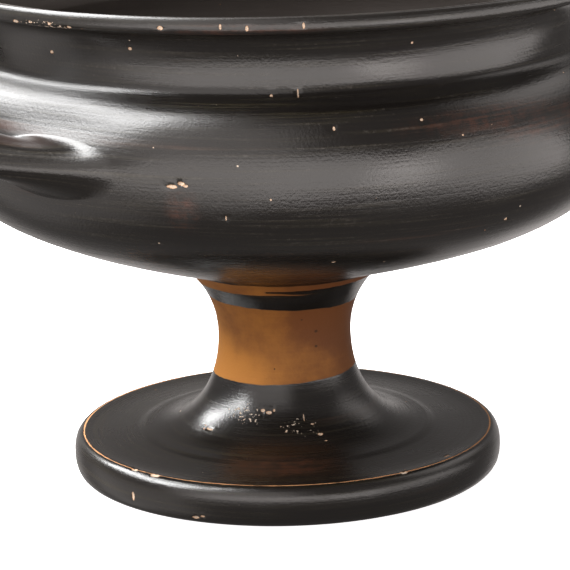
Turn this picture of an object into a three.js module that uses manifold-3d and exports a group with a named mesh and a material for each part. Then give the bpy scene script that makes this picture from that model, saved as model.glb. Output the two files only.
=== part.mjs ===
// A stemmed drinking cup of ancient Greek shape, thrown and fired as one piece of clay:
// a broad disc foot, a short thick stem, a deep bowl with an offset concave lip and a
// beaded rim, and two horizontal handles that rise a little outwards.
// Millimetres, +Z up, origin under the middle of the foot, handles along X.
import * as THREE from 'three';
import { mergeVertices } from 'three/addons/utils/BufferGeometryUtils.js';
import Module from 'manifold-3d';

// Foot
const REST_INNER_R = 45.0;
const REST_OUTER_R = 54.2;
const FOOT_GIRTH_R = 57.5;
const FOOT_GIRTH_Z = 5.8;
const FOOT_EDGE_R = 55.0;
const FOOT_EDGE_Z = 11.0;
const FOOT_EDGE_DROP = 0.8;
const CHANNEL_R = 51.0;
const CHANNEL_SAG = 0.7;
const RING_R = 39.0;
const RING_Z = 11.4;
const RING_STEP = 0.5;

// Hollow under the foot
const HOLLOW_LIP_R = 44.0;
const HOLLOW_LIP_Z = 3.2;
const HOLLOW_KNEE_R = 25.0;
const HOLLOW_KNEE_Z = 9.2;
const HOLLOW_TURN_R = 13.0;
const HOLLOW_BORE_R = 8.0;
const HOLLOW_BORE_Z = 25.0;
const HOLLOW_TOP_Z = 34.0;

// Stem
const FLARE_R = 26.0;
const FLARE_RISE_Z = 22.0;
const WAIST_R = 17.8;
const WAIST_Z = 37.0;
const STEM_RISE_Z = 44.5;
const STEM_TURN_R = 21.0;
const STEM_TURN_Z = 51.5;
const STEM_JOIN_R = 27.5;
const STEM_JOIN_Z = 56.5;

// Outside of the bowl
const UNDERSIDE_R = 83.1;
const UNDERSIDE_Z = 72.3;
const GIRTH_R = 90.2;
const GIRTH_Z = 99.0;
const GIRTH_DROP = 20.6;
const GIRTH_RISE = 11.5;
const SHOULDER_R = 82.4;
const SHOULDER_Z = 115.7;
const GROOVE_R = 80.8;
const GROOVE_Z = 117.3;

// Lip and rim
const LIP_HOLLOW_R = 80.2;
const LIP_HOLLOW_Z = 121.5;
const LIP_RISE_R = 80.9;
const LIP_RISE_Z = 126.5;
const LIP_BREAK_R = 82.8;
const LIP_BREAK_Z = 129.6;
const LIP_FLARE_R = 84.6;
const LIP_FLARE_Z = 132.6;
const LIP_TOP_R = 91.2;
const LIP_TOP_Z = 133.2;
const BEAD_R = 94.6;
const BEAD_Z = 135.2;
const RIM_R = 93.6;
const RIM_Z = 137.8;
const RIM_INNER_R = 92.4;
const RIM_INNER_Z = 137.2;

// Inside of the bowl
const LIP_WALL = 3.9;
const INNER_LIP_R = 80.0;
const INNER_LIP_Z = 136.0;
const INNER_LIP_TURN_Z = 130.0;
const BOWL_WALL = 4.6;
const INNER_GIRTH_Z = 103.0;
const INNER_GIRTH_DROP = 18.5;
const INNER_GIRTH_RISE = 9.0;
const FLOOR_TURN_R = 81.5;
const FLOOR_TURN_Z = 76.2;
const FLOOR_R = 26.0;
const FLOOR_RISE = 1.0;
const FLOOR_Z = 61.8;

// Handles
const HANDLE_CENTRE_X = 62.0;
const HANDLE_REACH = 70.0;
const HANDLE_HALF_SPAN = 46.5;
const HANDLE_ROOT_Z = 106.5;
const HANDLE_RISE = 15.6;
const HANDLE_CLIMB = 3;
const HANDLE_ROD_R = 5.8;
const HANDLE_ROOT_SWELL = 3.2;
const HANDLE_ROOT_SWELL_UP = 0.5;
const HANDLE_SWELL_FROM_X = 78.0;
const HANDLE_SWELL_TO_X = 98.0;

// Fineness of the facets
const TURN_STEPS = 56;
const HANDLE_STEPS = 24;
const HANDLE_SIDES = 12;
const SAME_POINT = 1e-4;

const CLAY_COLOUR = 0x16130f;

const v2 = (r, z) => new THREE.Vector2(r, z);

// Each stretch of a profile is a curve with the number of steps that it is cut into.
const line = (a, b) => [new THREE.LineCurve(a, b), 1];
const bend = (a, control, b, steps) => [new THREE.QuadraticBezierCurve(a, control, b), steps];
const sweep = (a, c1, c2, b, steps) => [new THREE.CubicBezierCurve(a, c1, c2, b), steps];

function profilePoints(stretches) {
  const points = [];
  for (const [curve, steps] of stretches) {
    const cut = curve.getPoints(steps);
    points.push(...(points.length ? cut.slice(1) : cut));
  }
  return points;
}

// From the axis down the hollow of the stem and foot to the resting ring.
function hollowStretches() {
  const top = v2(0, HOLLOW_TOP_Z);
  const bore = v2(HOLLOW_BORE_R, HOLLOW_BORE_Z);
  const knee = v2(HOLLOW_KNEE_R, HOLLOW_KNEE_Z);
  const lip = v2(HOLLOW_LIP_R, HOLLOW_LIP_Z);
  const middle = (HOLLOW_BORE_Z + HOLLOW_KNEE_Z) / 2;
  return [
    bend(top, v2(HOLLOW_BORE_R, HOLLOW_TOP_Z), bore, 3),
    sweep(bore, v2(HOLLOW_BORE_R, middle), v2(HOLLOW_TURN_R, HOLLOW_KNEE_Z), knee, 3),
    line(knee, lip),
    line(lip, v2(REST_INNER_R, 0)),
  ];
}

// From the resting ring over the foot and up the stem.
function footStretches() {
  const rest = v2(REST_OUTER_R, 0);
  const girth = v2(FOOT_GIRTH_R, FOOT_GIRTH_Z);
  const edge = v2(FOOT_EDGE_R, FOOT_EDGE_Z);
  const ringFoot = v2(RING_R + RING_STEP, RING_Z);
  const ringTop = v2(RING_R - RING_STEP, RING_Z + RING_STEP);
  const waist = v2(WAIST_R, WAIST_Z);
  const join = v2(STEM_JOIN_R, STEM_JOIN_Z);
  return [
    line(v2(REST_INNER_R, 0), rest),
    bend(rest, v2(FOOT_GIRTH_R, 0), girth, 3),
    bend(girth, v2(FOOT_GIRTH_R, FOOT_EDGE_Z - FOOT_EDGE_DROP), edge, 3),
    bend(edge, v2(CHANNEL_R, FOOT_EDGE_Z - CHANNEL_SAG), ringFoot, 3),
    line(ringFoot, ringTop),
    sweep(ringTop, v2(FLARE_R, ringTop.y), v2(WAIST_R, FLARE_RISE_Z), waist, 8),
    sweep(waist, v2(WAIST_R, STEM_RISE_Z), v2(STEM_TURN_R, STEM_TURN_Z), join, 6),
  ];
}

// From the stem up the outside of the bowl and lip, over the rim to its inner edge.
function outsideStretches() {
  const join = v2(STEM_JOIN_R, STEM_JOIN_Z);
  const girth = v2(GIRTH_R, GIRTH_Z);
  const shoulder = v2(SHOULDER_R, SHOULDER_Z);
  const groove = v2(GROOVE_R, GROOVE_Z);
  const lipBreak = v2(LIP_BREAK_R, LIP_BREAK_Z);
  const lipTop = v2(LIP_TOP_R, LIP_TOP_Z);
  const bead = v2(BEAD_R, BEAD_Z);
  const rim = v2(RIM_R, RIM_Z);
  return [
    sweep(join, v2(UNDERSIDE_R, UNDERSIDE_Z), v2(GIRTH_R, GIRTH_Z - GIRTH_DROP), girth, 10),
    bend(girth, v2(GIRTH_R, GIRTH_Z + GIRTH_RISE), shoulder, 5),
    line(shoulder, groove),
    sweep(groove, v2(LIP_HOLLOW_R, LIP_HOLLOW_Z), v2(LIP_RISE_R, LIP_RISE_Z), lipBreak, 3),
    bend(lipBreak, v2(LIP_FLARE_R, LIP_FLARE_Z), lipTop, 3),
    bend(lipTop, v2(BEAD_R, LIP_TOP_Z), bead, 2),
    bend(bead, v2(BEAD_R, RIM_Z), rim, 2),
    line(rim, v2(RIM_INNER_R, RIM_INNER_Z)),
  ];
}

// From the inner edge of the rim down the inside of the lip and bowl to the axis.
function insideStretches() {
  const rimInner = v2(RIM_INNER_R, RIM_INNER_Z);
  const lipR = GROOVE_R - LIP_WALL;
  const lipFoot = v2(lipR, GROOVE_Z);
  const girthR = GIRTH_R - BOWL_WALL;
  const girth = v2(girthR, INNER_GIRTH_Z);
  const floorEdge = v2(FLOOR_R, FLOOR_Z + FLOOR_RISE);
  return [
    sweep(rimInner, v2(INNER_LIP_R, INNER_LIP_Z), v2(lipR, INNER_LIP_TURN_Z), lipFoot, 4),
    bend(lipFoot, v2(girthR, INNER_GIRTH_Z + INNER_GIRTH_RISE), girth, 3),
    sweep(girth, v2(girthR, INNER_GIRTH_Z - INNER_GIRTH_DROP), v2(FLOOR_TURN_R, FLOOR_TURN_Z), floorEdge, 8),
    bend(floorEdge, v2(FLOOR_R / 2, FLOOR_Z), v2(0, FLOOR_Z), 2),
  ];
}

// LatheGeometry turns about Y, so the turned body is stood up on Z.
function turned(points) {
  const geometry = new THREE.LatheGeometry(points, TURN_STEPS);
  geometry.rotateX(Math.PI / 2);
  return geometry;
}

function vesselGeometry() {
  const around = [hollowStretches(), footStretches(), outsideStretches(), insideStretches()];
  return turned(profilePoints(around.flat()));
}

// The bowl's inside, grown to the middle of its wall and closed at the rim: no handle reaches into it.
function bowlCoreGeometry() {
  const grown = profilePoints(insideStretches());
  for (const point of grown.slice(0, -1)) {
    point.x += BOWL_WALL / 2;
  }
  return turned([v2(0, RIM_INNER_Z), ...grown].reverse());
}

// The handle's centre line is half an ellipse, seen from above. It leaves the bowl level and climbs to its end.
function handleCentre(angle) {
  return new THREE.Vector3(
    HANDLE_CENTRE_X + HANDLE_REACH * Math.cos(angle),
    HANDLE_HALF_SPAN * Math.sin(angle),
    HANDLE_ROOT_Z + HANDLE_RISE * Math.cos(angle) ** HANDLE_CLIMB,
  );
}

function handleDirection(angle) {
  return new THREE.Vector3(
    -HANDLE_REACH * Math.sin(angle),
    HANDLE_HALF_SPAN * Math.cos(angle),
    -HANDLE_RISE * HANDLE_CLIMB * Math.cos(angle) ** (HANDLE_CLIMB - 1) * Math.sin(angle),
  ).normalize();
}

// The rod swells towards its roots, more across than up.
function handleSwell(x) {
  return 1 - THREE.MathUtils.smoothstep(x, HANDLE_SWELL_FROM_X, HANDLE_SWELL_TO_X);
}

function handleGeometry() {
  const positions = [];
  const up = new THREE.Vector3(0, 0, 1);
  for (let step = 0; step <= HANDLE_STEPS; step += 1) {
    const angle = Math.PI * (step / HANDLE_STEPS - 0.5);
    const centre = handleCentre(angle);
    const direction = handleDirection(angle);
    const outward = new THREE.Vector3().crossVectors(direction, up).normalize();
    const lift = new THREE.Vector3().crossVectors(outward, direction);
    const swell = handleSwell(centre.x);
    const halfWidth = HANDLE_ROD_R + HANDLE_ROOT_SWELL * swell;
    const halfHeight = HANDLE_ROD_R + HANDLE_ROOT_SWELL_UP * swell;
    for (let side = 0; side < HANDLE_SIDES; side += 1) {
      const turn = (2 * Math.PI * side) / HANDLE_SIDES;
      const point = centre.clone();
      point.addScaledVector(outward, halfWidth * Math.cos(turn));
      point.addScaledVector(lift, halfHeight * Math.sin(turn));
      positions.push(point.x, point.y, point.z);
    }
  }
  const index = [];
  for (let step = 0; step < HANDLE_STEPS; step += 1) {
    for (let side = 0; side < HANDLE_SIDES; side += 1) {
      const a = step * HANDLE_SIDES + side;
      const b = step * HANDLE_SIDES + ((side + 1) % HANDLE_SIDES);
      index.push(a, a + HANDLE_SIDES, b, b, a + HANDLE_SIDES, b + HANDLE_SIDES);
    }
  }
  const last = HANDLE_STEPS * HANDLE_SIDES;
  for (let side = 1; side < HANDLE_SIDES - 1; side += 1) {
    index.push(0, side, side + 1);
    index.push(last, last + side + 1, last + side);
  }
  const geometry = new THREE.BufferGeometry();
  geometry.setAttribute('position', new THREE.Float32BufferAttribute(positions, 3));
  geometry.setIndex(index);
  return geometry;
}

const wasm = await Module();
wasm.setup();

function solidOf(geometry) {
  const bare = geometry.clone();
  bare.deleteAttribute('normal');
  bare.deleteAttribute('uv');
  const merged = mergeVertices(bare, SAME_POINT);
  const mesh = new wasm.Mesh({
    numProp: 3,
    vertProperties: new Float32Array(merged.attributes.position.array),
    triVerts: new Uint32Array(merged.index.array),
  });
  return new wasm.Manifold(mesh);
}

function geometryOf(solid) {
  const mesh = solid.getMesh();
  const geometry = new THREE.BufferGeometry();
  geometry.setAttribute('position', new THREE.BufferAttribute(mesh.vertProperties, 3));
  geometry.setIndex(new THREE.BufferAttribute(mesh.triVerts, 1));
  geometry.computeVertexNormals();
  return geometry;
}

function cupGeometry() {
  const core = solidOf(bowlCoreGeometry());
  const rightHandle = handleGeometry();
  const leftHandle = rightHandle.clone().rotateZ(Math.PI);
  let cup = solidOf(vesselGeometry());
  for (const handle of [rightHandle, leftHandle]) {
    cup = cup.add(solidOf(handle).subtract(core));
  }
  return geometryOf(cup);
}

const clay = new THREE.MeshStandardMaterial({ color: CLAY_COLOUR, roughness: 0.22, metalness: 0 });

const cup = new THREE.Mesh(cupGeometry(), clay);
cup.name = 'stemmed_cup';

const part = new THREE.Group();
part.add(cup);

export default part;
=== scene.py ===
"""A black-gloss stemmed cup with two side handles, worn and chipped, on a pale floor."""
import math

import bmesh
import bpy
import numpy as np
from mathutils import Matrix, Vector, noise


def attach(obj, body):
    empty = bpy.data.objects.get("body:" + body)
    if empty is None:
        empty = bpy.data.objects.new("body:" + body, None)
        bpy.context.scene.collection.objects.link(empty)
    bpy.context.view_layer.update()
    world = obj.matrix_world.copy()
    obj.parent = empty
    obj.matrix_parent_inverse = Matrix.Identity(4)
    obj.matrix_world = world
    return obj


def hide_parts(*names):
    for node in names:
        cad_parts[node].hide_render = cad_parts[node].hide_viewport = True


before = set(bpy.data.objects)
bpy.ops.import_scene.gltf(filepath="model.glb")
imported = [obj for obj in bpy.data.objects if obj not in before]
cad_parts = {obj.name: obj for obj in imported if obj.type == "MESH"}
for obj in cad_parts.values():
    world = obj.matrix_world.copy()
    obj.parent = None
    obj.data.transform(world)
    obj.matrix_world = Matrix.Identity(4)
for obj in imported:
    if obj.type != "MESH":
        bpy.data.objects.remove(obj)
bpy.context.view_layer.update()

MM = 0.001

# Foot and the hollow under it, in millimetres
REST_INNER = (45.0, 0.0)
REST_OUTER = (54.2, 0.0)
FOOT_GIRTH = (57.5, 5.8)
FOOT_EDGE = (55.0, 11.0)
FOOT_EDGE_DROP = 0.8
CHANNEL_R = 51.0
CHANNEL_SAG = 0.7
RING_R = 39.0
RING_Z = 11.4
RING_STEP = 0.5
HOLLOW_LIP = (44.0, 3.2)
HOLLOW_KNEE = (25.0, 9.2)
HOLLOW_TURN_R = 13.0
HOLLOW_BORE = (8.0, 25.0)
HOLLOW_TOP_Z = 34.0

# Stem
FLARE_R = 26.0
FLARE_RISE_Z = 22.0
WAIST = (17.8, 37.0)
STEM_RISE_Z = 44.5
STEM_TURN = (21.0, 51.5)
STEM_JOIN = (27.5, 56.5)

# Bowl, lip and rim
UNDERSIDE = (83.1, 72.3)
GIRTH = (90.2, 99.0)
GIRTH_DROP = 20.6
GIRTH_RISE = 11.5
SHOULDER = (82.4, 115.7)
GROOVE = (80.8, 117.3)
LIP_HOLLOW = (80.2, 121.5)
LIP_RISE = (80.9, 126.5)
LIP_BREAK = (82.8, 129.6)
LIP_FLARE = (84.6, 132.6)
LIP_TOP = (91.2, 133.2)
BEAD = (94.6, 135.2)
RIM = (93.6, 137.8)
RIM_INNER = (92.4, 137.2)
LIP_WALL = 3.9
INNER_LIP = (80.0, 136.0)
INNER_LIP_TURN_Z = 130.0
BOWL_WALL = 4.6
INNER_GIRTH_Z = 103.0
INNER_GIRTH_DROP = 18.5
INNER_GIRTH_RISE = 9.0
FLOOR_TURN = (81.5, 76.2)
FLOOR_R = 26.0
FLOOR_RISE = 1.0
FLOOR_Z = 61.8

# Handles
HANDLE_CENTRE_X = 62.0
HANDLE_REACH = 70.0
HANDLE_HALF_SPAN = 46.5
HANDLE_ROOT_Z = 106.5
HANDLE_RISE = 15.6
HANDLE_CLIMB = 3
HANDLE_ROD_R = 5.8
HANDLE_ROOT_SWELL = 3.2
HANDLE_ROOT_SWELL_UP = 0.5
HANDLE_SWELL_FROM_X = 78.0
HANDLE_SWELL_TO_X = 98.0
HANDLE_FREE_X = 101.0
STRAP_FROM_X = 97.0
STRAP_TO_X = 130.0
STRAP_THINNER = 1.0
STRAP_WIDER = 1.2
STRAP_LEAN = 0.45
STRAP_DROP = 4.2
HANDLE_RINGS = 56
ROOT_TURN = 30.9
ROOT_HALF_TURN = 18.0
ROOT_LOW_Z = 89.0
ROOT_HIGH_Z = 107.8
ROOT_FOOT_HALF = 19.5
ROOT_FOOT_LIFT = 0.93
ROOT_SKIN_RINGS = 8
ROOT_FILLET_RINGS = 12
ROOT_FILLET_PULL = 0.8
ROOT_INNER_SHARE = 0.9
# How straight the fillet runs to the rod, by the sine of the angle round the root, from below to above
ROOT_STRAIGHT_AT = (-1.0, -0.4, 0.1, 0.6, 1.0)
ROOT_STRAIGHT = (1.0, 0.2, 0.2, 0.25, 0.25)

# Fineness of the mesh
SAMPLE_STEP = 0.1
CORNER_SOFTNESS = 0.35
BELL_REACH = 3
TURNS = 256
DEGREES_PER_COLUMN = 360.0 / TURNS
OUTSIDE_STEP = 1.55
HIDDEN_STEP = 3.2
FINEST_STEP = 0.5
BEND_PER_STEP = 0.22
LEAST_BEND = 1e-6
STEP_SOFTNESS = 8.0
SHOWN_INSIDE_LIP = 14.0

# Viewpoint, found from the rim, groove, foot and stem curves
PHOTO_WIDTH = 570
FOCAL_PIXELS = 3100.0
SENSOR_MM = 36.0
CAMERA_TURN = math.radians(20.5)
CAMERA_DISTANCE = 803.6
CAMERA_HEIGHT = 257.6
CAMERA_PITCH = math.radians(14.53)
CAMERA_ROLL = math.radians(-1.32)
CAMERA_YAW = math.radians(0.03)


# Profile of the turned part

def curve(*controls):
    """Close-set points on the Bezier curve with these control points."""
    points = [np.array(control, float) for control in controls]
    length = sum(np.linalg.norm(b - a) for a, b in zip(points, points[1:]))
    steps = max(2, int(length / SAMPLE_STEP))
    t = np.linspace(0.0, 1.0, steps + 1)[:, None]
    while len(points) > 1:
        points = [a * (1 - t) + b * t for a, b in zip(points, points[1:])]
    return points[0]


def hollow_stretches():
    top = (0.0, HOLLOW_TOP_Z)
    bore_foot = (HOLLOW_BORE[0], (HOLLOW_BORE[1] + HOLLOW_KNEE[1]) / 2)
    knee_turn = (HOLLOW_TURN_R, HOLLOW_KNEE[1])
    yield "hollow", curve(top, (HOLLOW_BORE[0], HOLLOW_TOP_Z), HOLLOW_BORE)
    yield "hollow", curve(HOLLOW_BORE, bore_foot, knee_turn, HOLLOW_KNEE)
    yield "hollow", curve(HOLLOW_KNEE, HOLLOW_LIP)
    yield "hollow", curve(HOLLOW_LIP, REST_INNER)


def foot_stretches():
    ring_edge = (RING_R + RING_STEP, RING_Z)
    ring_top = (RING_R - RING_STEP, RING_Z + RING_STEP)
    yield "rest", curve(REST_INNER, REST_OUTER)
    yield "foot girth", curve(REST_OUTER, (FOOT_GIRTH[0], 0.0), FOOT_GIRTH)
    yield "foot edge", curve(FOOT_GIRTH, (FOOT_GIRTH[0], FOOT_EDGE[1] - FOOT_EDGE_DROP), FOOT_EDGE)
    yield "ring", curve(FOOT_EDGE, (CHANNEL_R, FOOT_EDGE[1] - CHANNEL_SAG), ring_edge)
    yield "ring top", curve(ring_edge, ring_top)
    yield "waist", curve(ring_top, (FLARE_R, ring_top[1]), (WAIST[0], FLARE_RISE_Z), WAIST)
    yield "join", curve(WAIST, (WAIST[0], STEM_RISE_Z), STEM_TURN, STEM_JOIN)


def outside_stretches():
    yield "girth", curve(STEM_JOIN, UNDERSIDE, (GIRTH[0], GIRTH[1] - GIRTH_DROP), GIRTH)
    yield "shoulder", curve(GIRTH, (GIRTH[0], GIRTH[1] + GIRTH_RISE), SHOULDER)
    yield "groove", curve(SHOULDER, GROOVE)
    yield "lip break", curve(GROOVE, LIP_HOLLOW, LIP_RISE, LIP_BREAK)
    yield "lip top", curve(LIP_BREAK, LIP_FLARE, LIP_TOP)
    yield "bead", curve(LIP_TOP, (BEAD[0], LIP_TOP[1]), BEAD)
    yield "rim", curve(BEAD, (BEAD[0], RIM[1]), RIM)
    yield "rim inner", curve(RIM, RIM_INNER)


def inside_stretches():
    lip_r = GROOVE[0] - LIP_WALL
    girth_r = GIRTH[0] - BOWL_WALL
    lip_foot = (lip_r, GROOVE[1])
    girth = (girth_r, INNER_GIRTH_Z)
    floor_edge = (FLOOR_R, FLOOR_Z + FLOOR_RISE)
    yield "inside", curve(RIM_INNER, INNER_LIP, (lip_r, INNER_LIP_TURN_Z), lip_foot)
    yield "inside", curve(lip_foot, (girth_r, INNER_GIRTH_Z + INNER_GIRTH_RISE), girth)
    yield "inside", curve(girth, (girth_r, INNER_GIRTH_Z - INNER_GIRTH_DROP), FLOOR_TURN, floor_edge)
    yield "inside", curve(floor_edge, (FLOOR_R / 2, FLOOR_Z), (0.0, FLOOR_Z))


def soften(values, spread):
    """Rounds corners: a running mean with bell-shaped weights and the ends held."""
    reach = int(BELL_REACH * spread)
    weights = np.exp(-0.5 * (np.arange(-reach, reach + 1) / spread) ** 2)
    before = 2 * values[0] - values[reach:0:-1]
    after = 2 * values[-1] - values[-2:-reach - 2:-1]
    padded = np.concatenate([before, values, after])
    return np.convolve(padded, weights / weights.sum(), mode="valid")


class Profile:
    """The half outline from the top of the hollow, round the outside and back to the bowl's floor."""

    def __init__(self):
        stretches = [*hollow_stretches(), *foot_stretches(), *outside_stretches(), *inside_stretches()]
        first_point = stretches[0][1][:1]
        points = np.concatenate([first_point, *(part[1:] for _, part in stretches)])
        gaps = np.linalg.norm(np.diff(points, axis=0), axis=1)
        rough_along = np.concatenate([[0.0], np.cumsum(gaps)])
        self.along = np.linspace(0.0, rough_along[-1], int(rough_along[-1] / SAMPLE_STEP) + 1)
        spread = CORNER_SOFTNESS / SAMPLE_STEP
        self.r = np.maximum(soften(np.interp(self.along, rough_along, points[:, 0]), spread), 0.0)
        self.z = np.maximum(soften(np.interp(self.along, rough_along, points[:, 1]), spread), 0.0)
        self.marks = {}
        end = 0
        for name, part in stretches:
            end += len(part) - 1
            self.marks[name] = rough_along[end]

    def at(self, along):
        return np.interp(along, self.along, self.r), np.interp(along, self.along, self.z)

    def outside_at_height(self, height, low="join", high="shoulder"):
        inside = (self.along >= self.marks[low]) & (self.along <= self.marks[high])
        return float(np.interp(height, self.z[inside], self.along[inside]))

    def rows(self):
        """Places along the outline for the rings of vertices, closer where it bends."""
        heading = np.unwrap(np.arctan2(np.gradient(self.z), np.gradient(self.r)))
        bend = np.abs(np.gradient(heading, self.along)) + LEAST_BEND
        shown_to = self.marks["rim inner"] + SHOWN_INSIDE_LIP
        shown = (self.along > self.marks["hollow"]) & (self.along < shown_to)
        widest = np.where(shown, OUTSIDE_STEP, HIDDEN_STEP)
        step = np.clip(BEND_PER_STEP / bend, FINEST_STEP, widest)
        step = soften(step, STEP_SOFTNESS)
        count = np.concatenate([[0.0], np.cumsum(SAMPLE_STEP / step[1:])])
        wanted = np.linspace(0.0, count[-1], int(count[-1]) + 1)
        return np.interp(wanted, count, self.along)


profile = Profile()
MARKS = profile.marks


# Small departures from a true form, in millimetres

TILT = math.radians(0.7)
TILT_HEIGHTS = (57.0, 70.0, 84.0, 104.0)
TILT_SHARES = (0.0, 1.0, 1.0, 0.0)
WOBBLE_BOWL = 0.35
WOBBLE_BOWL_LOBES = 2
WOBBLE_BOWL_HEIGHTS = (50.0, 90.0)
WOBBLE_BOWL_PHASE = 0.8
WOBBLE_FOOT = 0.25
WOBBLE_FOOT_LOBES = 3
WOBBLE_FOOT_HEIGHTS = (0.0, 2.0, 20.0, 40.0)
WOBBLE_FOOT_SHARES = (0.0, 1.0, 0.6, 0.0)
WOBBLE_FOOT_PHASE = 2.1
WOBBLE_FULL_R = 40.0
WHEEL_LINE_DEPTH = 0.07
WHEEL_LINE_PITCH = 0.16
WHEEL_LINE_SEED = 3.7
WHEEL_LINE_HEIGHTS = (0.0, 4.0)
THUMB_DEPTH = 1.9
THUMB_Z = 108.8
THUMB_HALF_HEIGHT = 9.5
THUMB_HALF_TURN = 20.0
THUMB_FADES_R = (88.5, 96.0)

# The camera's own right and its side of the cup, on the floor
RIGHT = np.array([math.cos(CAMERA_TURN), -math.sin(CAMERA_TURN)])
FRONT = np.array([-math.sin(CAMERA_TURN), -math.cos(CAMERA_TURN)])


def thumb_press(r, z, turn, along):
    """How far the wet shoulder was pressed in over each handle root."""
    from_handle_line = np.degrees(np.arctan2(np.abs(np.sin(turn)), np.abs(np.cos(turn))))
    sideways = np.maximum(1 - ((from_handle_line - ROOT_TURN) / THUMB_HALF_TURN) ** 2, 0.0) ** 2
    upright = np.maximum(1 - ((z - THUMB_Z) / THUMB_HALF_HEIGHT) ** 2, 0.0) ** 2
    off_handle = np.interp(r, THUMB_FADES_R, (1.0, 0.0))
    outside = np.asarray(along) < MARKS["rim inner"]
    return THUMB_DEPTH * sideways * upright * off_handle * outside


def warp(points, along):
    """Leans the lower bowl a little, lets circles wander, adds wheel lines and presses the shoulder in."""
    x, y, z = points[:, 0].copy(), points[:, 1].copy(), points[:, 2].copy()
    to_right = x * RIGHT[0] + y * RIGHT[1]
    z -= np.interp(z, TILT_HEIGHTS, TILT_SHARES) * math.sin(TILT) * to_right
    turn = np.arctan2(y, x)
    r = np.hypot(x, y)
    bowl = np.interp(z, WOBBLE_BOWL_HEIGHTS, (0.0, WOBBLE_BOWL))
    bowl *= np.cos(WOBBLE_BOWL_LOBES * turn + WOBBLE_BOWL_PHASE)
    foot = np.interp(z, WOBBLE_FOOT_HEIGHTS, WOBBLE_FOOT_SHARES) * WOBBLE_FOOT
    foot *= np.cos(WOBBLE_FOOT_LOBES * turn + WOBBLE_FOOT_PHASE)
    lines = np.array([noise.noise(Vector((s * WHEEL_LINE_PITCH, WHEEL_LINE_SEED, 0.0))) for s in along])
    lines *= np.interp(z, WHEEL_LINE_HEIGHTS, (0.0, WHEEL_LINE_DEPTH))
    outwards = bowl + foot + lines - thumb_press(r, z, turn, along)
    swell = 1 + outwards * np.minimum(r / WOBBLE_FULL_R, 1.0) / np.maximum(r, 1.0)
    return np.stack([x * swell, y * swell, z], axis=1)


# Mesh of the whole cup in one skin

class Skin:
    """Gathers rings of vertices, with their place along the outline and how bare they are, and the faces."""

    def __init__(self):
        self.points = []
        self.along = []
        self.bare = []
        self.faces = []

    def add(self, points, along, bare=0.0):
        first = len(self.points)
        self.points.extend(np.asarray(points, float).tolist())
        self.along.extend(np.broadcast_to(along, len(points)).tolist())
        self.bare.extend([bare] * len(points))
        return list(range(first, first + len(points)))

    def join_rings(self, lower, upper):
        for i in range(len(lower)):
            j = (i + 1) % len(lower)
            self.faces.append((lower[i], lower[j], upper[j], upper[i]))

    def fan(self, centre, ring, flip):
        for i in range(len(ring)):
            j = (i + 1) % len(ring)
            self.faces.append((centre, ring[j], ring[i]) if flip else (centre, ring[i], ring[j]))


def on_bowl(turn, along):
    """Points on the turned surface at these turns, in degrees from +X, and places along the outline."""
    r, z = profile.at(along)
    angle = np.radians(turn)
    return np.stack([r * np.cos(angle), r * np.sin(angle), z], axis=-1)


def unit(vectors):
    return vectors / np.linalg.norm(vectors, axis=-1, keepdims=True)


def smooth_fall(value, low, high):
    """One at low and nothing at high, with soft ends."""
    t = np.clip((value - low) / (high - low), 0.0, 1.0)
    return 1 - t * t * (3 - 2 * t)


def smooth_path(t, start, leave, target, arrive):
    """Points at share t of the paths from start to target that leave and arrive with these pulls."""
    return (
        (2 * t**3 - 3 * t**2 + 1) * start + (t**3 - 2 * t**2 + t) * leave
        + (3 * t**2 - 2 * t**3) * target + (t**3 - t**2) * arrive
    )


def handle_centre(angle):
    return np.array([
        HANDLE_CENTRE_X + HANDLE_REACH * math.cos(angle),
        HANDLE_HALF_SPAN * math.sin(angle),
        HANDLE_ROOT_Z + HANDLE_RISE * math.cos(angle) ** HANDLE_CLIMB,
    ])


def handle_ring(angle, ring_angles):
    """A ring round the handle, and its direction there. Near the bowl it is smeared to a leaning strap."""
    direction = unit(np.array([
        -HANDLE_REACH * math.sin(angle),
        HANDLE_HALF_SPAN * math.cos(angle),
        -HANDLE_RISE * HANDLE_CLIMB * math.cos(angle) ** (HANDLE_CLIMB - 1) * math.sin(angle),
    ]))
    outward = unit(np.cross(direction, np.array([0.0, 0.0, 1.0])))
    lift = np.cross(outward, direction)
    centre = handle_centre(angle)
    swollen = smooth_fall(centre[0], HANDLE_SWELL_FROM_X, HANDLE_SWELL_TO_X)
    smeared = smooth_fall(centre[0], STRAP_FROM_X, STRAP_TO_X)
    half_width = HANDLE_ROD_R + HANDLE_ROOT_SWELL * swollen + STRAP_WIDER * smeared
    half_height = HANDLE_ROD_R + HANDLE_ROOT_SWELL_UP * swollen - STRAP_THINNER * smeared
    across = half_width * np.cos(ring_angles)
    up = half_height * np.sin(ring_angles) - STRAP_LEAN * smeared * across
    centre[2] -= STRAP_DROP * smeared
    ring = centre + np.outer(across, outward) + np.outer(up, lift)
    return ring, direction


def turned_by(points, half_turn):
    return points * np.array([-1.0, -1.0, 1.0]) if half_turn else points


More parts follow.
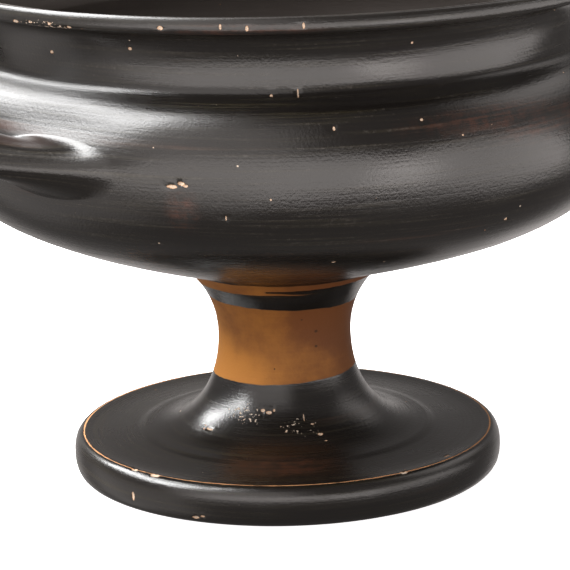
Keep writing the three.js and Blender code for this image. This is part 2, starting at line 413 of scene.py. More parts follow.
class Root:
    """One of the four places where a handle grows out of the bowl: a window in the bowl's grid."""

    def __init__(self, rows, side, half_turn):
        self.side = side
        self.half_turn = half_turn
        middle = round(ROOT_TURN / DEGREES_PER_COLUMN)
        half = round(ROOT_HALF_TURN / DEGREES_PER_COLUMN)
        self.columns = np.sort(np.arange(middle - half, middle + half + 1) * side)
        low = profile.outside_at_height(ROOT_LOW_Z)
        high = profile.outside_at_height(ROOT_HIGH_Z)
        self.row_numbers = [j for j, s in enumerate(rows) if low <= s <= high]
        self.alongs = rows[self.row_numbers]
        self.turn = middle * DEGREES_PER_COLUMN * side
        self.along = (self.alongs[0] + self.alongs[-1]) / 2

    def edge(self):
        """The window's edge as (angle round the rod, column, row), in order of that angle."""
        middle = self.columns.mean()
        half = (len(self.columns) - 1) / 2
        last_row = len(self.row_numbers) - 1
        row_half = last_row / 2
        found = []
        for column in self.columns:
            on_side = column in (self.columns[0], self.columns[-1])
            for k, row in enumerate(self.row_numbers):
                if not on_side and k not in (0, last_row):
                    continue
                u = (column - middle) / half * self.side
                v = (k - row_half) / row_half
                angle = math.atan2(v * math.sqrt(1 - u * u / 2), u * math.sqrt(1 - v * v / 2))
                found.append((angle, column, row))
        return sorted(found)

    def covers(self, column, row):
        columns = (self.columns + (TURNS // 2 if self.half_turn else 0)) % TURNS
        inside_row = self.row_numbers[0] <= row < self.row_numbers[-1]
        return inside_row and column in set(columns[:-1])


def join(skin, ring, new, side):
    """Joins two rings of a handle with the faces turned outwards at either end."""
    if side < 0:
        skin.join_rings(ring, new)
    else:
        skin.join_rings(new, ring)


def add_ring(skin, ring, points, along, side, half_turn):
    """Adds a ring of points to a handle, joins it to the ring before and returns it."""
    new = skin.add(turned_by(points, half_turn), along)
    join(skin, ring, new, side)
    return new


def grow_root(skin, grid, rows, side, half_turn, free_angle):
    """Grows one end of a handle out of its window in the bowl, as far as the free rod."""
    root = Root(rows, side, half_turn)
    edge = root.edge()
    angles = np.array([angle for angle, _, _ in edge])
    shift = TURNS // 2 if half_turn else 0
    ring = [grid[row][(column + shift) % TURNS] for _, column, row in edge]
    edge_turn = np.array([column * DEGREES_PER_COLUMN for _, column, _ in edge])
    edge_along = np.array([rows[row] for _, _, row in edge])
    radius = float(profile.at(root.along)[0])
    foot_turn = root.turn + side * np.degrees(ROOT_FOOT_HALF / radius) * np.cos(angles)
    half_height = (root.alongs[-1] - root.alongs[0]) / 2 * ROOT_FOOT_LIFT
    foot_along = root.along + half_height * np.sin(angles)
    for k in range(1, ROOT_SKIN_RINGS + 1):
        share = k / ROOT_SKIN_RINGS
        turn = edge_turn * (1 - share) + foot_turn * share
        along = edge_along * (1 - share) + foot_along * share
        ring = add_ring(skin, ring, on_bowl(turn, along), along, side, half_turn)
    start = on_bowl(foot_turn, foot_along)
    inner_turn = root.turn + (foot_turn - root.turn) * ROOT_INNER_SHARE
    inner_along = root.along + (foot_along - root.along) * ROOT_INNER_SHARE
    target, direction = handle_ring(side * free_angle, angles)
    over_bowl = unit(on_bowl(inner_turn, inner_along) - start)
    straight = unit(target - start)
    share = np.interp(np.sin(angles), ROOT_STRAIGHT_AT, ROOT_STRAIGHT)[:, None]
    pull = np.linalg.norm(target - start, axis=1)[:, None] * ROOT_FILLET_PULL
    leave = pull * (over_bowl * (1 - share) + straight * share)
    arrive = pull * -side * direction
    for k in range(1, ROOT_FILLET_RINGS + 1):
        points = smooth_path(k / ROOT_FILLET_RINGS, start, leave, target, arrive)
        ring = add_ring(skin, ring, points, foot_along, side, half_turn)
    return ring, angles, foot_along


def grow_handle(skin, grid, rows, half_turn):
    """Grows both ends of one handle and runs the rod between them."""
    free_angle = math.acos((HANDLE_FREE_X - HANDLE_CENTRE_X) / HANDLE_REACH)
    ring, angles, along = grow_root(skin, grid, rows, -1, half_turn, free_angle)
    last_ring = grow_root(skin, grid, rows, 1, half_turn, free_angle)[0]
    for k in range(1, HANDLE_RINGS):
        angle = free_angle * (2 * k / HANDLE_RINGS - 1)
        ring = add_ring(skin, ring, handle_ring(angle, angles)[0], along, -1, half_turn)
    join(skin, ring, last_ring, -1)


def cup_skin():
    skin = Skin()
    rows = profile.rows()
    turns = np.arange(TURNS) * DEGREES_PER_COLUMN
    roots = [Root(rows, side, half_turn) for side in (-1, 1) for half_turn in (False, True)]
    grid = {}
    last = len(rows) - 1
    for row in range(1, last):
        bare = 1.0 if rows[row] < MARKS["rest"] + BARE_PAST_REST else 0.0
        grid[row] = skin.add(on_bowl(turns, np.full(TURNS, rows[row])), rows[row], bare)
    for row in range(1, last - 1):
        lower, upper = grid[row], grid[row + 1]
        for column in range(TURNS):
            if any(root.covers(column, row) for root in roots):
                continue
            after = (column + 1) % TURNS
            skin.faces.append((lower[column], lower[after], upper[after], upper[column]))
    hollow_top = skin.add([(0.0, 0.0, HOLLOW_TOP_Z)], 0.0, 1.0)[0]
    bowl_floor = skin.add([(0.0, 0.0, FLOOR_Z)], rows[-1])[0]
    skin.fan(hollow_top, grid[1], True)
    skin.fan(bowl_floor, grid[last - 1], False)
    for half_turn in (False, True):
        grow_handle(skin, grid, rows, half_turn)
    return skin


def place_on_cup(degrees_from_front, along):
    """The point on the outside at an angle from the camera's side, plus to the right, after the warp."""
    angle = math.radians(degrees_from_front)
    r, z = profile.at(along)
    flat = r * (math.cos(angle) * FRONT + math.sin(angle) * RIGHT)
    return warp(np.array([[flat[0], flat[1], z]]), [along])[0]


def cut_chip(work, degrees_from_front, along, half_width, half_height):
    """Makes the mesh finer round one chip and presses an uneven hollow into it."""
    middle = place_on_cup(degrees_from_front, along)
    across = math.radians(half_width) * math.hypot(middle[0], middle[1])
    reach = max(across, half_height, SMALLEST_CHIP)
    middle = Vector(middle) * MM
    fine_within = CHIP_REACH * reach * MM + CHIP_MARGIN * MM
    edges = [edge for edge in work.edges if (edge.verts[0].co - middle).length < fine_within]
    if edges:
        bmesh.ops.subdivide_edges(work, edges=edges, cuts=CHIP_CUTS, use_grid_fill=True)
    side = Vector((middle.x, middle.y, 0.0)).normalized().cross(Vector((0.0, 0.0, 1.0)))
    for vertex in work.verts:
        offset = vertex.co - middle
        if offset.length > CHIP_REACH * reach * MM:
            continue
        sideways = offset.dot(side)
        upright = (offset - side * sideways).length
        away = math.hypot(sideways / (across * MM), upright / (half_height * MM))
        away += CHIP_UNEVEN * noise.noise(vertex.co * CHIP_GRAIN)
        if away < 1.0:
            vertex.co -= vertex.normal * CHIP_DEPTH * MM * (1 - away * away)


def cup_object():
    skin = cup_skin()
    points = warp(np.array(skin.points), skin.along) * MM
    mesh = bpy.data.meshes.new("stemmed_cup_skin")
    mesh.from_pydata(points.tolist(), [], skin.faces)
    for name, values in (("along", skin.along), ("bare", skin.bare)):
        layer = mesh.attributes.new(name, "FLOAT", "POINT")
        layer.data.foreach_set("value", values)
    work = bmesh.new()
    work.from_mesh(mesh)
    unused = [vertex for vertex in work.verts if not vertex.link_faces]
    bmesh.ops.delete(work, geom=unused, context="VERTS")
    bmesh.ops.recalc_face_normals(work, faces=work.faces)
    for chip in CHIPS:
        cut_chip(work, *chip)
    for face in work.faces:
        face.smooth = True
    work.to_mesh(mesh)
    work.free()
    cup = bpy.data.objects.new("stemmed_cup_skin", mesh)
    bpy.context.scene.collection.objects.link(cup)
    return cup


# Gloss and clay

class Wiring:
    """Adds nodes to a material or the world. A value that isn't a socket is set on the input itself."""

    def __init__(self, tree):
        self.tree = tree

    def node(self, kind, inputs, **settings):
        made = self.tree.nodes.new(kind)
        for name, value in settings.items():
            setattr(made, name, value)
        for name, value in inputs.items():
            if isinstance(value, bpy.types.NodeSocket):
                self.tree.links.new(value, made.inputs[name])
            else:
                made.inputs[name].default_value = value
        return made

    def math(self, operation, first, second=0.0):
        return self.node("ShaderNodeMath", {0: first, 1: second}, operation=operation).outputs[0]

    def add(self, first, second):
        return self.math("ADD", first, second)

    def times(self, first, second):
        return self.math("MULTIPLY", first, second)

    def less(self, first, second):
        return self.math("SUBTRACT", first, second)

    def most(self, first, *others):
        for other in others:
            first = self.math("MAXIMUM", first, other)
        return first

    def weighted(self, *pairs):
        """The sum of these values, each times its weight."""
        total = 0.0
        for value, weight in pairs:
            total = self.add(total, self.times(value, weight))
        return total

    def vector(self, operation, first, second=(0.0, 0.0, 0.0)):
        return self.node("ShaderNodeVectorMath", {0: first, 1: second}, operation=operation).outputs

    def joined(self, x, y, z=0.0):
        return self.node("ShaderNodeCombineXYZ", {0: x, 1: y, 2: z}).outputs[0]

    def attribute(self, name):
        return self.node("ShaderNodeAttribute", {}, attribute_name=name).outputs["Fac"]

    def to_right_and_front(self, x, y):
        """How far a place or direction lies to the camera's right and to its side."""
        to_right = self.weighted((x, RIGHT[0]), (y, RIGHT[1]))
        to_front = self.weighted((x, FRONT[0]), (y, FRONT[1]))
        return to_right, to_front

    def in_degrees(self, operation, first, second=0.0):
        return self.times(self.math(operation, first, second), 180 / math.pi)

    def rise(self, value, low, high, start=0.0, end=1.0):
        """A smooth step of the value from low to high. With low above high it falls."""
        inputs = {"Value": value, "From Min": low, "From Max": high, "To Min": start, "To Max": end}
        return self.node("ShaderNodeMapRange", inputs, interpolation_type="SMOOTHSTEP").outputs["Result"]

    def mix(self, share, first, second):
        inputs = {0: share, 6: first, 7: second}
        return self.node("ShaderNodeMix", inputs, data_type="RGBA").outputs[2]

    def grain(self, vector, scale, detail=3.0, roughness=0.55):
        inputs = {"Vector": vector, "Scale": scale, "Detail": detail, "Roughness": roughness}
        return self.node("ShaderNodeTexNoise", inputs).outputs[0]

    def spots(self, vector, scale):
        return self.node("ShaderNodeTexVoronoi", {"Vector": vector, "Scale": scale})


GLOSS_BLACK = (0.0085, 0.0070, 0.0060, 1.0)
GLOSS_OLIVE = (0.024, 0.020, 0.011, 1.0)
# Brown of thin gloss, also used for painted brown reflections on the right shoulder
GLOSS_BROWN_AND_REFLECTION = (0.060, 0.021, 0.011, 1.0)
GLOSS_DULL = (0.095, 0.084, 0.077, 1.0)
GLOSS_DUSTY = (0.085, 0.076, 0.068, 1.0)
# The two clay tones are mixed by mottle and by painted light: gold where the light falls, brown for painted
# shade
CLAY_GOLD_AND_LIT = (0.48, 0.195, 0.036, 1.0)
CLAY_BROWN_AND_SHADED = (0.16, 0.056, 0.017, 1.0)
CLAY_PALE = (0.60, 0.50, 0.40, 1.0)
CLAY_EDGE = (0.55, 0.27, 0.12, 1.0)
CLAY_CHIP = (0.58, 0.36, 0.22, 1.0)
CLAY_STAIN = (0.035, 0.018, 0.010, 1.0)
GLOSS_IOR = 1.62
GLOSS_SPECULAR = 0.5
CLAY_SPECULAR = 0.18
CLAY_ROUGHNESS = 0.6
WORN_ROUGHNESS = 0.42
BROWN_DULLER = 0.6
RIM_DULLER = 0.25

# Grain: scale, detail and roughness of each noise
RAGGED_GRAIN = (420.0, 4.0, 0.65)
PATCHY_GRAIN = (55.0, 2.0)
CLOUD_GRAIN = (22.0, 3.0)
PAINT_GRAIN = (140.0, 2.0)
DUST_GRAIN = (900.0, 2.0)
SPECK_GRAIN = (1300.0, 2.0)
CLUSTER_GRAIN = (150.0, 2.0)
CLAY_GRAIN = (75.0, 5.0, 0.62)
CRAZING_GRAIN = (1500.0, 2.0)
STREAK_GRAIN = (1.3, 5.0, 0.62)
BROAD_GRAIN = (0.2, 2.0)
STREAK_STRETCH = 0.02
GRAIN_MEAN = 0.5

# How much each grain counts where several are added up
MOTTLE_STREAK, MOTTLE_RAGGED = 0.6, 0.4
BROWN_STREAK = 0.4
DUST_STREAK, DUST_FINE = 0.6, 0.4
SPECK_CLUSTER, SPECK_NEAR = 0.5, 0.22
CHIP_RAGGED = 1.6
WORN_RAGGED, WORN_PATCHY = 0.45, 0.6
# The second weight here paints shade on the stem's right side, away from the light
CLAY_MOTTLE, CLAY_PAINTED_SHADE_RIGHTWARD, CLAY_STREAK = 1.1, 0.4, 0.1
STAIN_RAGGED = 0.6
RELIEF_STREAK, RELIEF_CRAZING, RELIEF_LOST = 0.5, 0.55, -0.7
BUMP_STRENGTH = 0.3
BUMP_DISTANCE = 0.0003

# Soft steps: where each begins and ends, and its two levels where they aren't nothing and one
BROWN_EDGE = (1.1, 0.2)
BROWN_MOTTLE = (0.42, 0.66)
BROWN_FAR_STREAKS = (0.78, 0.95)
BROWN_FAR_CLOUDS = (0.5, 0.7, 0.0, 0.6)
OLIVE_EDGE = (1.2, 0.2)
OLIVE_NEAR_STREAKS = (0.45, 0.62)
OLIVE_FAR_STREAKS = (0.45, 0.8, 0.0, 0.7)
DUST = (0.54, 0.74, 0.0, 0.4)
DUST_HEIGHTS = (56.0, 62.0)
INSIDE_FADE = 3.0
SPECKLED_EDGE = (1.1, 0.3)
SPECKS = (1.07, 1.12)
CHIP_EDGE = (1.0, 0.75)
CHIP_PALE_MIDDLE = (0.3, 0.85)
PIT_COLOURS = (0.45, 0.65)
WORN_THROUGH = (1.12, 1.2)
DULL_RIM = (5.0, 3.0)
# The next step paints shade on the stem higher up, under the bowl
CLAY_PAINTED_SHADE_UPWARD = (28.0, 41.0, -0.3, 0.06)
CLAY_TONES = (-0.05, 0.8)
STAIN_EDGE = (1.3, 0.7, 0.0, 0.8)
GLOSS_ROUGHNESS = (0.3, 0.7, 0.18, 0.31)
STREAK_ROUGHNESS = (0.42, 0.7, 0.0, 0.06)
SCUFFED_EDGE = (1.2, 0.3)
SCUFFED_MOTTLE = (0.3, 0.6, 0.1, 0.45)

# Painted edges on the stem: heights in millimetres, and how much they lean from left to right
STEM_BLACK_TOP = (27.3, 0.7)
BAND_BOTTOM = (47.6, -0.75)
BAND_TOP = (52.4, 0.0)
STROKE_LOW = (52.9, -1.6)
STROKE_TOP = (53.8, 0.2)
STROKE_FROM = -0.2
STROKE_END_SHARPNESS = 0.02
BOWL_BLACK_FROM = (55.7, 0.0)
PAINT_WANDER = 0.9
PAINT_SHARPNESS = 0.12
BARE_PAST_REST = 0.6

# Places on the outside: degrees from the front, plus to the right, millimetres along the outline,
# half width in degrees and half height in millimetres
CHIPS = (
    (-16.8, 241.7, 0.95, 0.5), (-15.3, 242.5, 0.75, 0.6), (-14.6, 242.0, 0.4, 0.4),
    (-41.6, 291.4, 0.5, 0.5), (-38.6, 291.8, 0.35, 0.35), (-35.1, 291.9, 0.4, 0.4), (-31.5, 291.3, 0.4, 0.4),
    (-16.9, 292.4, 0.4, 0.6), (-8.1, 293.0, 0.2, 0.7), (-4.3, 292.6, 0.25, 0.8), (3.7, 293.0, 0.2, 0.9),
    (-44.1, 78.8, 0.45, 1.3), (-24.6, 76.0, 1.3, 0.45), (-22.6, 76.6, 0.7, 0.4),
    (11.4, 120.1, 0.4, 1.0), (16.0, 118.2, 1.2, 0.25), (19.0, 114.8, 1.5, 0.4), (20.5, 112.4, 0.9, 0.3),
    (-16.5, 122.4, 1.6, 0.5), (-12.0, 121.8, 1.9, 0.5), (-8.5, 122.5, 0.8, 0.4), (-48.0, 114.6, 2.6, 0.35),
    (-8.6, 233.9, 0.12, 0.9), (-1.6, 238.8, 0.16, 0.25), (8.4, 255.5, 0.2, 0.6), (22.7, 255.9, 0.3, 0.35),
    (29.3, 251.0, 0.25, 0.3), (3.2, 265.6, 0.14, 1.3), (-1.3, 265.2, 0.3, 0.4), (9.1, 215.7, 0.4, 0.4),
    (-25.6, 276.3, 0.4, 0.5), (-42.8, 273.3, 0.5, 0.5), (23.0, 276.5, 0.3, 0.4), (39.2, 227.6, 0.3, 0.4),
    (33.0, 86.4, 1.4, 0.8), (-38.0, 86.0, 1.6, 0.7), (-46.0, 86.2, 1.2, 0.6), (52.0, 88.5, 1.2, 0.5),
)
CHIP_DEPTH = 0.4
CHIP_REACH = 1.3
CHIP_MARGIN = 0.6
CHIP_CUTS = 2
CHIP_UNEVEN = 0.5
CHIP_GRAIN = 900.0
SMALLEST_CHIP = 0.8
# Brown gloss patches; the two on the right shoulder, at 36 and 47 degrees, are painted brown reflections
BROWN_PATCHES_AND_REFLECTIONS = (
    (-15.3, 235.5, 3.4, 7.0), (36.0, 254.0, 20.0, 4.5), (47.0, 250.5, 14.0, 5.5),
    (-3.0, 100.5, 26.0, 8.0), (-5.0, 291.6, 14.0, 2.6),
)
OLIVE_PATCHES = ((5.0, 259.5, 14.0, 3.6), (-6.0, 262.0, 20.0, 3.0))
SPECKLED_PATCHES = (
    (-30.0, 120.5, 30.0, 5.0), (-36.0, 291.0, 12.0, 2.5), (8.0, 117.0, 20.0, 5.0), (-52.0, 114.6, 8.0, 1.6),
)
SCUFFED_PATCHES = ((-42.0, 258.0, 22.0, 11.0),)
STEM_STAINS = (
    (27.3, 143.1, 2.4, 0.6), (27.5, 138.9, 2.0, 0.5), (-9.0, 133.5, 1.0, 0.35), (14.0, 147.0, 1.2, 0.3),
)

# Pits spread at random: cells per metre, the share of cells without one, and the largest reach in a cell
PITS = ((540.0, 0.978, 0.17), (190.0, 0.975, 0.09))
PIT_CORE = 0.6
PIT_CHANCE_STEP = 0.001

# Worn edges: the place along the outline, millimetres past it, half width, and how far they are worn
WORN_EDGES = (("foot edge", 0.2, 0.7, 0.75), ("bead", 1.5, 3.0, 0.46), ("foot girth", -5.5, 3.5, 0.5))


class CupWiring(Wiring):
    """The wiring of the cup's surface, with the places and the grain that its layers share."""

    def __init__(self, tree):
        super().__init__(tree)
        self.position = self.node("ShaderNodeTexCoord", {}).outputs["Object"]
        axes = self.node("ShaderNodeSeparateXYZ", {0: self.position})
        x, y, self.z = (self.times(axes.outputs[i], 1 / MM) for i in range(3))
        self.along = self.attribute("along")
        self.bare = self.attribute("bare")
        to_right, to_front = self.to_right_and_front(x, y)
        radius = self.math("SQRT", self.weighted((to_right, to_right), (to_front, to_front)))
        self.lean = self.math("DIVIDE", to_right, self.most(radius, 1.0))
        self.place = self.joined(self.in_degrees("ARCTAN2", to_right, to_front), self.along)
        brushed = self.joined(self.times(x, STREAK_STRETCH), self.times(y, STREAK_STRETCH), self.along)
        self.streak = self.grain(brushed, *STREAK_GRAIN)
        self.broad = self.grain(brushed, *BROAD_GRAIN)
        self.ragged = self.grain(self.position, *RAGGED_GRAIN)
        self.patchy = self.grain(self.position, *PATCHY_GRAIN)
        self.cloud = self.grain(self.position, *CLOUD_GRAIN)
        self.mottle = self.weighted((self.streak, MOTTLE_STREAK), (self.ragged, MOTTLE_RAGGED))
        self.brown_and_reflection_near = self.rise(self.nearest(BROWN_PATCHES_AND_REFLECTIONS), *BROWN_EDGE)
        self.inside = self.rise(self.along, MARKS["rim inner"], MARKS["rim inner"] + INSIDE_FADE)

    def nearest(self, places):
        """How far the surface is from the nearest of these places, with their edges at one."""
        least = None
        for turn, mark, half_width, half_height in places:
            offset = self.vector("SUBTRACT", self.place, (turn, mark, 0.0))[0]
            scaled = self.vector("MULTIPLY", offset, (1 / half_width, 1 / half_height, 0.0))[0]
            away = self.vector("LENGTH", scaled)["Value"]
            least = away if least is None else self.math("MINIMUM", least, away)
        return least

    def off_mark(self, mark):
        """How far the surface is from a place along the outline, in millimetres."""
        return self.math("ABSOLUTE", self.add(self.along, -mark))

    def from_mean(self, grain):
        return self.add(grain, -GRAIN_MEAN)


def unpainted_share(net):
    """One where the clay was left bare: on the stem, but for its painted ring and stroke, and underneath."""
    wander = net.from_mean(net.grain(net.position, *PAINT_GRAIN))
    height = net.weighted((net.z, 1.0), (wander, PAINT_WANDER))

    def above(edge, slope):
        limit = net.add(net.times(net.lean, slope), edge)
        return net.rise(net.less(height, limit), -PAINT_SHARPNESS, PAINT_SHARPNESS)

    stroke_end = net.rise(net.lean, STROKE_FROM - STROKE_END_SHARPNESS, STROKE_FROM + STROKE_END_SHARPNESS)
    stroke = net.times(net.less(above(*STROKE_LOW), above(*STROKE_TOP)), stroke_end)
    shank = net.less(above(*STEM_BLACK_TOP), above(*BAND_BOTTOM))
    collar = net.less(above(*BAND_TOP), above(*BOWL_BLACK_FROM))
    return net.most(shank, net.times(collar, net.less(1.0, stroke)), net.bare)


def gloss_colour(net):
    """Black gloss with olive and brown where it is thin, painted brown reflections on the right shoulder,
    dust on the bowl and a dull inside.
    """
    olive_patches = net.rise(net.nearest(OLIVE_PATCHES), *OLIVE_EDGE)
    olive_near = net.times(olive_patches, net.rise(net.streak, *OLIVE_NEAR_STREAKS))
    olive_far = net.rise(net.streak, *OLIVE_FAR_STREAKS)
    gloss = net.mix(net.most(olive_near, olive_far), GLOSS_BLACK, GLOSS_OLIVE)
    brown_and_reflection_near = net.times(net.brown_and_reflection_near, net.rise(net.mottle, *BROWN_MOTTLE))
    brown_streaks = net.rise(net.weighted((net.broad, 1.0), (net.streak, BROWN_STREAK)), *BROWN_FAR_STREAKS)
    brown_far = net.times(brown_streaks, net.rise(net.cloud, *BROWN_FAR_CLOUDS))
    gloss = net.mix(net.most(brown_and_reflection_near, brown_far), gloss, GLOSS_BROWN_AND_REFLECTION)
    dust = net.weighted((net.streak, DUST_STREAK), (net.grain(net.position, *DUST_GRAIN), DUST_FINE))
    dusty = net.times(net.rise(dust, *DUST), net.rise(net.z, *DUST_HEIGHTS))
    gloss = net.mix(dusty, gloss, GLOSS_DUSTY)
    return net.mix(net.inside, gloss, GLOSS_DULL)


def random_pits(net, scale, rarity, size):
    cells = net.spots(net.position, scale)
    chance = net.node("ShaderNodeSeparateColor", {0: cells.outputs["Color"]}).outputs[0]
    reach = net.rise(chance, rarity, 1.0, 0.0, size)
    pit = net.rise(cells.outputs["Distance"], reach, net.times(reach, PIT_CORE))
    return net.times(pit, net.rise(chance, rarity, rarity + PIT_CHANCE_STEP))


def pitted_share(net):
    """One in the pits spread at random and in the specks of the speckled patches."""
    speckled = net.rise(net.nearest(SPECKLED_PATCHES), *SPECKLED_EDGE)
    fine = net.grain(net.position, *SPECK_GRAIN)
    cluster = net.grain(net.position, *CLUSTER_GRAIN)
    dots = net.weighted((fine, 1.0), (cluster, SPECK_CLUSTER), (speckled, SPECK_NEAR))
    specks = net.times(net.rise(dots, *SPECKS), speckled)
    return net.most(specks, *(random_pits(net, *kind) for kind in PITS))


def worn_share(net):
    """One where the gloss is worn off the edges."""
    edges = []
    for name, past, width, amount in WORN_EDGES:
        near = net.rise(net.off_mark(MARKS[name] + past), width, 0.0)
        wear = net.weighted((near, amount), (net.ragged, WORN_RAGGED), (net.patchy, WORN_PATCHY))
        edges.append(net.rise(wear, *WORN_THROUGH))
    return net.most(*edges)


def clay_colour_and_shade(net):
    """Clay with random mottle and painted light: golden low on the left where the light falls, browner in
    painted shade above, under the bowl, and to the right, with a few stains.
    """
    tone_and_shade = net.weighted(
        (net.grain(net.position, *CLAY_GRAIN), CLAY_MOTTLE),
        # Lean and height add painted shade to the right and under the bowl
        (net.lean, CLAY_PAINTED_SHADE_RIGHTWARD),
        (net.rise(net.z, *CLAY_PAINTED_SHADE_UPWARD), 1.0),
        (net.from_mean(net.streak), CLAY_STREAK),
    )
    clay = net.mix(net.rise(tone_and_shade, *CLAY_TONES), CLAY_GOLD_AND_LIT, CLAY_BROWN_AND_SHADED)
    stains = net.weighted((net.nearest(STEM_STAINS), 1.0), (net.ragged, STAIN_RAGGED))
    return net.mix(net.rise(stains, *STAIN_EDGE), clay, CLAY_STAIN)


def gloss_roughness(net):
    """Smooth gloss, rougher along brush marks and most of all inside, on the rim and where it is scuffed."""
    shine = net.add(net.rise(net.cloud, *GLOSS_ROUGHNESS), net.rise(net.streak, *STREAK_ROUGHNESS))
    scuffed = net.rise(net.nearest(SCUFFED_PATCHES), *SCUFFED_EDGE)
    scuffed = net.times(scuffed, net.rise(net.mottle, *SCUFFED_MOTTLE))
    dull_rim = net.times(net.rise(net.off_mark(MARKS["bead"]), *DULL_RIM), RIM_DULLER)
    duller = net.most(net.inside, net.times(net.brown_and_reflection_near, BROWN_DULLER), scuffed, dull_rim)
    return net.rise(duller, 0.0, 1.0, shine, WORN_ROUGHNESS)


def gloss_and_clay():
    material = bpy.data.materials.new("gloss_and_clay")
    material.use_nodes = True
    material.node_tree.nodes.clear()
    net = CupWiring(material.node_tree)
    unpainted = unpainted_share(net)
    wear = worn_share(net)
    pits = pitted_share(net)
    chip_edge = net.weighted((net.nearest(CHIPS), 1.0), (net.from_mean(net.ragged), CHIP_RAGGED))
    chips = net.rise(chip_edge, *CHIP_EDGE)
    colour = net.mix(wear, gloss_colour(net), CLAY_EDGE)
    chip_colour = net.mix(net.rise(chip_edge, *CHIP_PALE_MIDDLE), CLAY_PALE, CLAY_CHIP)
    colour = net.mix(chips, colour, chip_colour)
    pit_colour = net.mix(net.rise(net.patchy, *PIT_COLOURS), CLAY_PALE, CLAY_EDGE)
    colour = net.mix(pits, colour, pit_colour)
    colour = net.mix(unpainted, colour, clay_colour_and_shade(net))
    lost = net.most(wear, pits, chips)
    clay_share = net.most(lost, unpainted)
    crazing = net.grain(net.position, *CRAZING_GRAIN)
    relief = net.weighted((net.streak, RELIEF_STREAK), (crazing, RELIEF_CRAZING), (lost, RELIEF_LOST))
    bump = {"Strength": BUMP_STRENGTH, "Distance": BUMP_DISTANCE, "Height": relief}
    surface = net.node("ShaderNodeBsdfPrincipled", {
        "Base Color": colour,
        "Roughness": net.rise(clay_share, 0.0, 1.0, gloss_roughness(net), CLAY_ROUGHNESS),
        "IOR": GLOSS_IOR,
        "Specular IOR Level": net.rise(clay_share, 0.0, 1.0, GLOSS_SPECULAR, CLAY_SPECULAR),
        "Normal": net.node("ShaderNodeBump", bump).outputs[0],
    })
    net.node("ShaderNodeOutputMaterial", {"Surface": surface.outputs[0]})
    return material


# Floor, light and camera

FLOOR_HALF = 6.0
FLOOR_WHITE = (0.86, 0.86, 0.86, 1.0)
FLOOR_GLOW_COLOUR = (1.0, 1.0, 1.0, 1.0)
FLOOR_ROUGHNESS = 0.9
FLOOR_GLOW = 1.0
ROOM_LIGHT = 0.2

# Broad soft light by direction: turns from the camera's side, plus to the right, rises, and brightness
LIGHT_FIELDS = (
    ("overhead left", (-190.0, -26.0), (58.0, 100.0), 1.7),
    ("wall in front, left", (-66.0, 6.0), (6.0, 50.0), 1.05),
    ("side, right", (88.0, 138.0), (24.0, 82.0), 1.3),
    ("side, low left", (-125.0, -52.0), (-48.0, 0.0), 0.55),
    ("behind, right", (148.0, 190.0), (-40.0, 6.0), 0.6),
    ("behind, left", (-190.0, -150.0), (-30.0, 6.0), 0.6),
)
FIELD_SOFTNESS = 11.0
LIGHT_TINT = (1.0, 0.935, 0.905)

# The key light: turn and rise in degrees, distance, width and height in metres, and power
KEY_TURN = -98.0
KEY_RISE = 48.0
KEY_DISTANCE = 1.1
KEY_SIZE = (1.3, 0.85)
KEY_POWER = 58.0
KEY_AIM = (0.0, 0.0, 0.08)

# Cards below the view: turn from the camera's side, width in metres, brightness
CARDS = (("front card", -4.0, 0.74, 1.9), ("right card", 63.0, 0.47, 1.7))
CARD_DEPTH = 0.38
CARD_DISTANCE = 0.445
CARD_HEIGHT = 0.077
CARD_SLOPE = math.radians(23.0)
AREA_LIGHT_SHARE = 4.0


def plain_floor():
    mesh = bpy.data.meshes.new("floor")
    signs = ((-1, -1), (1, -1), (1, 1), (-1, 1))
    corners = [(x * FLOOR_HALF, y * FLOOR_HALF, 0) for x, y in signs]
    mesh.from_pydata(corners, [], [(0, 1, 2, 3)])
    floor = bpy.data.objects.new("floor", mesh)
    bpy.context.scene.collection.objects.link(floor)
    material = bpy.data.materials.new("pale_floor")
    material.use_nodes = True
    surface = material.node_tree.nodes["Principled BSDF"]
    surface.inputs["Base Color"].default_value = FLOOR_WHITE
    surface.inputs["Roughness"].default_value = FLOOR_ROUGHNESS
    surface.inputs["Specular IOR Level"].default_value = 0.0
    surface.inputs["Emission Color"].default_value = FLOOR_GLOW_COLOUR
    surface.inputs["Emission Strength"].default_value = FLOOR_GLOW
    mesh.materials.append(material)
    floor.visible_glossy = False
    floor.visible_diffuse = False


def to_side(turn):
    """The level direction at a turn in degrees from the camera's side, plus to the right."""
    angle = math.radians(turn)
    flat = math.cos(angle) * FRONT + math.sin(angle) * RIGHT
    return Vector((flat[0], flat[1], 0.0))


def lit_panel(name, size, power, place, back):
    """A rectangle that gives off light on the side away from the direction of its back."""
    light = bpy.data.lights.new(name, "AREA")
    light.shape = "RECTANGLE"
    light.size, light.size_y = size
    light.energy = power
    panel = bpy.data.objects.new(name, light)
    panel.location = place
    panel.rotation_mode = "QUATERNION"
    panel.rotation_quaternion = back.to_track_quat("Z", "Y")
    bpy.context.scene.collection.objects.link(panel)
    return light


def key_light():
    rise = math.radians(KEY_RISE)
    away = to_side(KEY_TURN) * math.cos(rise) + Vector((0.0, 0.0, math.sin(rise)))
    lit_panel("key", KEY_SIZE, KEY_POWER, Vector(KEY_AIM) + away * KEY_DISTANCE, away)


def pale_card(name, turn, width, brightness):
    """A pale card on the floor beside the cup and out of view, which the bowl and the lip mirror."""
    away = to_side(turn)
    place = away * CARD_DISTANCE + Vector((0.0, 0.0, CARD_HEIGHT))
    back = away * math.sin(CARD_SLOPE) - Vector((0.0, 0.0, math.cos(CARD_SLOPE)))
    power = AREA_LIGHT_SHARE * width * CARD_DEPTH * brightness
    light = lit_panel(name, (width, CARD_DEPTH), power, place, back)
    light.color = LIGHT_TINT


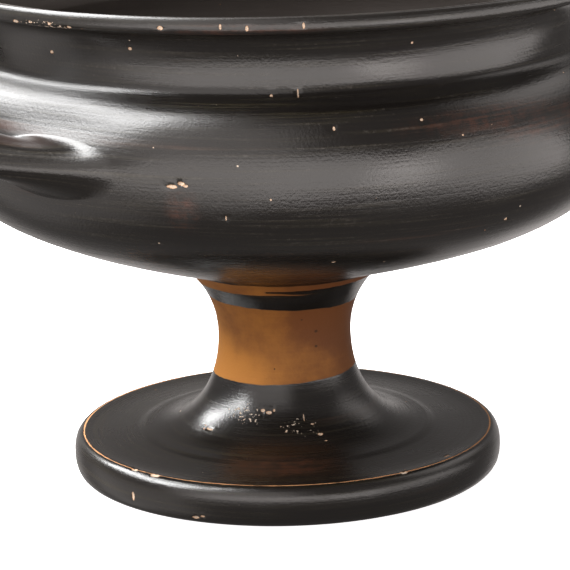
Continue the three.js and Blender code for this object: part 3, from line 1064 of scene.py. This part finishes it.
def studio_light():
    world = bpy.data.worlds.new("studio")
    world.use_nodes = True
    net = Wiring(world.node_tree)
    direction = net.node("ShaderNodeTexCoord", {}).outputs["Generated"]
    axes = net.node("ShaderNodeSeparateXYZ", {0: direction})
    x, y, z = (axes.outputs[i] for i in range(3))
    turn = net.in_degrees("ARCTAN2", *net.to_right_and_front(x, y))
    rise = net.in_degrees("ARCSINE", z)
    light = ROOM_LIGHT
    for _, turns, rises, brightness in LIGHT_FIELDS:
        field = brightness
        for value, (low, high) in ((turn, turns), (rise, rises)):
            field = net.times(net.rise(value, low - FIELD_SOFTNESS, low + FIELD_SOFTNESS), field)
            field = net.times(net.rise(value, high + FIELD_SOFTNESS, high - FIELD_SOFTNESS), field)
        light = net.add(light, field)
    background = world.node_tree.nodes["Background"]
    world.node_tree.links.new(light, background.inputs["Strength"])
    background.inputs["Color"].default_value = (*LIGHT_TINT, 1.0)
    bpy.context.scene.world = world
    bpy.context.scene.view_settings.view_transform = "Standard"
    key_light()
    for card in CARDS:
        pale_card(*card)


def photo_camera():
    right = Vector((RIGHT[0], RIGHT[1], 0.0))
    ahead = Vector((-FRONT[0], -FRONT[1], 0.0))
    up = Vector((0.0, 0.0, 1.0))
    ahead, right = (
        ahead * math.cos(CAMERA_YAW) + right * math.sin(CAMERA_YAW),
        right * math.cos(CAMERA_YAW) - ahead * math.sin(CAMERA_YAW),
    )
    ahead, up = (
        ahead * math.cos(CAMERA_PITCH) - up * math.sin(CAMERA_PITCH),
        up * math.cos(CAMERA_PITCH) + ahead * math.sin(CAMERA_PITCH),
    )
    right, up = (
        right * math.cos(CAMERA_ROLL) + up * math.sin(CAMERA_ROLL),
        up * math.cos(CAMERA_ROLL) - right * math.sin(CAMERA_ROLL),
    )
    data = bpy.data.cameras.new("photo_camera")
    data.sensor_fit = "HORIZONTAL"
    data.sensor_width = SENSOR_MM
    data.lens = FOCAL_PIXELS / PHOTO_WIDTH * SENSOR_MM
    data.dof.use_dof = False
    camera = bpy.data.objects.new("photo_camera", data)
    spot = CAMERA_DISTANCE * FRONT
    frame_axes = Matrix((right, up, -ahead)).transposed().to_4x4()
    camera.matrix_world = Matrix.Translation(Vector((spot[0], spot[1], CAMERA_HEIGHT)) * MM) @ frame_axes
    bpy.context.scene.collection.objects.link(camera)
    bpy.context.scene.camera = camera


cup = cup_object()
cup.data.materials.append(gloss_and_clay())
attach(cup, "root")
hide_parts("stemmed_cup")
plain_floor()
studio_light()
photo_camera()
